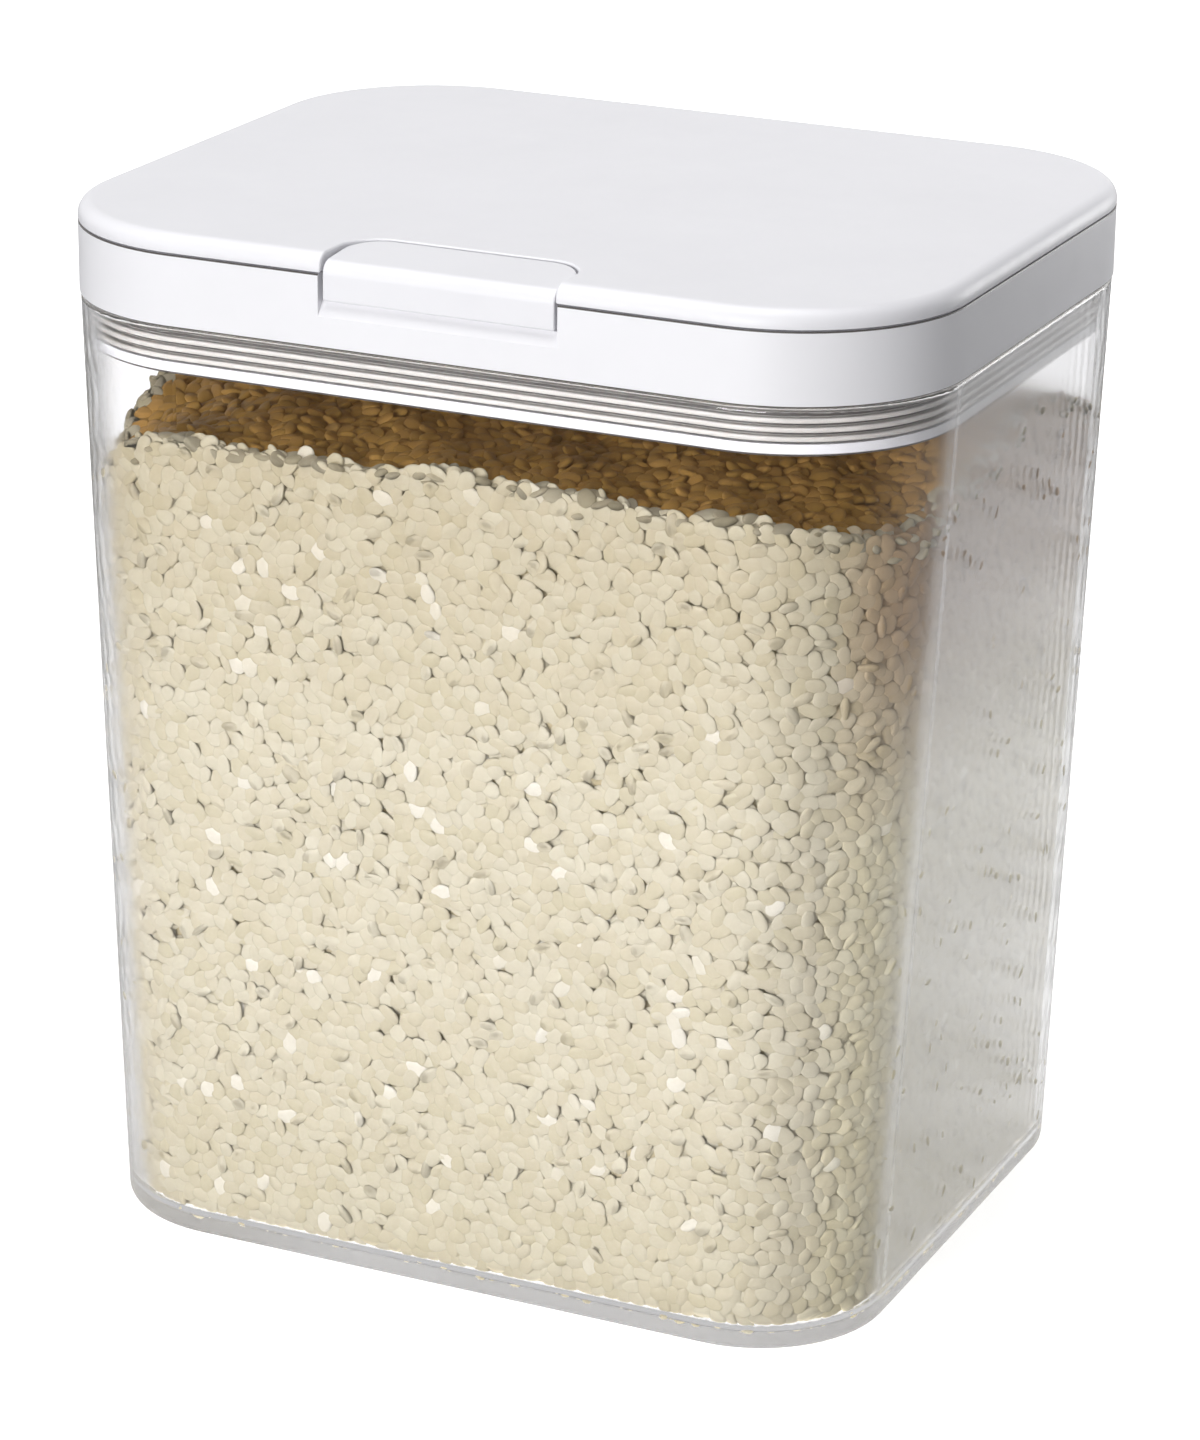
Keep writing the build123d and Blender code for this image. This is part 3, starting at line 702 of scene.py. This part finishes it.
core_mat = depth_material("rice_depth")
pale_grains = grain_shapes("grain_shapes", rice_material("rice_grain", PALE_TINTS, PALE_GLOW))
painted_shade_grains = grain_shapes("grain_shapes_top",
                             rice_material("rice_grain_painted_shade", PAINTED_SHADE_TINTS, SHADED_GLOW))
rice = scattered_grains("rice_grains", pale_grains, ~in_painted_shade)
rice_painted_shade = scattered_grains("rice_grains_top", painted_shade_grains, in_painted_shade)
core = rice_core("rice_core", core_mat)


# ------------------------------------------------------- floor, world, lamps

def seen_directly(tree):
    """Two masks: what is seen straight or through, and what is seen as a mirror image.

    Both are 0 for the rays that light things, so the white background doesn't light the object.
    """
    path = tree.nodes.new("ShaderNodeLightPath")
    straight = math_node(tree, "LESS_THAN", path.outputs["Diffuse Depth"], 0.5)
    through = math_node(tree, "MAXIMUM", path.outputs["Is Camera Ray"],
                        path.outputs["Is Transmission Ray"])
    reflected = math_node(tree, "COMPARE", path.outputs["Glossy Depth"], 1.0)
    through = math_node(tree, "MULTIPLY", through, math_node(tree, "SUBTRACT", 1.0, reflected))
    return (math_node(tree, "MULTIPLY", through, straight),
            math_node(tree, "MULTIPLY", reflected, straight))


def pale_floor(name):
    """A pale floor with the object's shadow, pure white where it is seen away from it."""
    mat, tree, bsdf, out = new_material(name)
    metres = object_coords(tree, (1, 1, 1))
    cloud = noise(tree, metres, 30.0, 3.0, 0.6)
    tree.links.new(ramp(tree, cloud, [(0.3, (0.61, 0.61, 0.61)), (0.7, (0.63, 0.63, 0.63))]),
                   bsdf.inputs["Base Color"])
    bsdf.inputs["Roughness"].default_value = 0.9
    # The lift to white grows away from the object, where the lamps fade
    away = tree.nodes.new("ShaderNodeVectorMath")
    away.operation = "LENGTH"
    tree.links.new(metres, away.inputs[0])
    lift = spread(tree, away.outputs["Value"], 0.71, 1.0, 0.12, 0.5)
    through, mirrored = seen_directly(tree)
    path = tree.nodes.new("ShaderNodeLightPath")
    glow = tree.nodes.new("ShaderNodeEmission")
    lift = math_node(tree, "MAXIMUM", lift, path.outputs["Is Transmission Ray"])
    tree.links.new(math_node(tree, "MULTIPLY", through, lift), glow.inputs["Strength"])
    add = tree.nodes.new("ShaderNodeAddShader")
    tree.links.new(bsdf.outputs["BSDF"], add.inputs[0])
    tree.links.new(glow.outputs["Emission"], add.inputs[1])
    # In gloss the floor is white behind the object and dark towards the room in front
    behind = spread(tree, axes(tree, metres)["Y"], 0.16, 1.0, -0.25, 0.12)
    far = spread(tree, away.outputs["Value"], 1.0, 0.35, 0.3, 0.65)
    shine = tree.nodes.new("ShaderNodeEmission")
    tree.links.new(math_node(tree, "MULTIPLY", behind, far), shine.inputs["Strength"])
    mix = tree.nodes.new("ShaderNodeMixShader")
    tree.links.new(mirrored, mix.inputs["Fac"])
    tree.links.new(add.outputs["Shader"], mix.inputs[1])
    tree.links.new(shine.outputs["Emission"], mix.inputs[2])
    tree.links.new(mix.outputs["Shader"], out.inputs["Surface"])
    mat.cycles.emission_sampling = "NONE"
    return mat


FLOOR_REACH, FLOOR_GAP = 6.0, 0.0002
floor_mesh = bpy.data.meshes.new("floor")
corners = [(x * FLOOR_REACH, y * FLOOR_REACH, 0) for x, y in ((-1, -1), (1, -1), (1, 1), (-1, 1))]
floor_mesh.from_pydata(corners, [], [(0, 1, 2, 3)])
floor_mesh.materials.append(pale_floor("floor_white"))
floor = bpy.data.objects.new("floor", floor_mesh)
floor.location.z = -FLOOR_GAP
scene.collection.objects.link(floor)

WORLD_LIGHT = 0.10


def studio_world(name):
    """A dim, even room that is white where it is seen.

    In gloss it is white behind the object and dim in front.
    """
    studio = bpy.data.worlds.new(name)
    studio.use_nodes = True
    tree = studio.node_tree
    tree.nodes.clear()
    out = tree.nodes.new("ShaderNodeOutputWorld")
    seen = tree.nodes.new("ShaderNodeBackground")
    seen.inputs["Color"].default_value = (1, 1, 1, 1)
    light = tree.nodes.new("ShaderNodeBackground")
    light.inputs["Color"].default_value = (0.93, 0.95, 1.0, 1)
    path = tree.nodes.new("ShaderNodeLightPath")
    # What comes through the clear wall isn't counted a second time
    outside = math_node(tree, "SUBTRACT", 1.0, path.outputs["Is Transmission Ray"])
    tree.links.new(math_node(tree, "MULTIPLY", outside, WORLD_LIGHT), light.inputs["Strength"])
    through, mirrored = seen_directly(tree)
    way = axes(tree, tree.nodes.new("ShaderNodeTexCoord").outputs["Generated"])["Y"]
    dim = math_node(tree, "MULTIPLY", mirrored, spread(tree, way, 0.72, 0.08, -0.25, 0.35))
    tree.links.new(math_node(tree, "SUBTRACT", 1.0, dim), seen.inputs["Strength"])
    mix = tree.nodes.new("ShaderNodeMixShader")
    tree.links.new(math_node(tree, "MAXIMUM", through, mirrored), mix.inputs["Fac"])
    tree.links.new(light.outputs[0], mix.inputs[1])
    tree.links.new(seen.outputs[0], mix.inputs[2])
    tree.links.new(mix.outputs[0], out.inputs["Surface"])
    return studio


scene.world = studio_world("studio")


def softbox(name, place, aim, width, height, power, mirrored=True):
    """A white area lamp at place that points at aim.

    The lamp itself is never seen, and its mirror image only where mirrored is set.
    """
    lamp = bpy.data.lights.new(name, "AREA")
    lamp.shape = "RECTANGLE"
    lamp.size, lamp.size_y = width, height
    lamp.energy = power
    obj = bpy.data.objects.new(name, lamp)
    obj.location = place
    obj.rotation_euler = (Vector(aim) - Vector(place)).to_track_quat("-Z", "Y").to_euler()
    obj.visible_camera = False
    obj.visible_transmission = False
    obj.visible_glossy = mirrored
    scene.collection.objects.link(obj)


softbox("key_front", (-0.12, -1.5, 0.34), (0, 0, 0.13), 0.8, 0.4, 15.3)
softbox("top", (-0.12, -0.10, 1.25), (0, 0, 0.2), 1.0, 0.8, 9.8)
softbox("back_fill", (-0.3, 1.5, 0.5), (0, 0, 0.1), 0.8, 0.4, 6.5, mirrored=False)
softbox("right_rear", (0.22, 0.25, 0.24), (0.10, 0.05, 0.20), 0.12, 0.12, 0.25)


# ------------------------------------------------------------------- camera

# The camera's distance from its aim, its shift from that line, and the aim's height, in metres
DISTANCE, SHIFT_RIGHT, SHIFT_DOWN, AIM_HEIGHT = 1.09828, 0.000644, 0.006762, 0.11434
SENSOR_WIDTH, LENS = 36.0, 122.945
BOUNCES, DIFFUSE_BOUNCES = 48, 5

yaw, pitch, roll = math.radians(24.716), math.radians(19.693), math.radians(0.675)
back = Vector((math.sin(yaw) * math.cos(pitch), -math.cos(yaw) * math.cos(pitch), math.sin(pitch)))
right = Vector((math.cos(yaw), math.sin(yaw), 0.0))
up = back.cross(right)
right_rolled = right * math.cos(roll) + up * math.sin(roll)
up_rolled = up * math.cos(roll) - right * math.sin(roll)
eye = back * DISTANCE + right * SHIFT_RIGHT - up * SHIFT_DOWN + Vector((0, 0, AIM_HEIGHT))
camera = bpy.data.objects.new("camera", bpy.data.cameras.new("camera"))
camera.data.sensor_width, camera.data.lens = SENSOR_WIDTH, LENS
camera.data.clip_start, camera.data.clip_end = 0.05, 50.0
camera.matrix_world = Matrix((
    (right_rolled.x, up_rolled.x, back.x, eye.x),
    (right_rolled.y, up_rolled.y, back.y, eye.y),
    (right_rolled.z, up_rolled.z, back.z, eye.z),
    (0, 0, 0, 1)))
scene.collection.objects.link(camera)
scene.camera = camera
scene.view_settings.view_transform = "Standard"

# Light runs far inside the clear floor and walls
scene.cycles.max_bounces = BOUNCES
scene.cycles.transmission_bounces = BOUNCES
scene.cycles.glossy_bounces = BOUNCES
scene.cycles.diffuse_bounces = DIFFUSE_BOUNCES
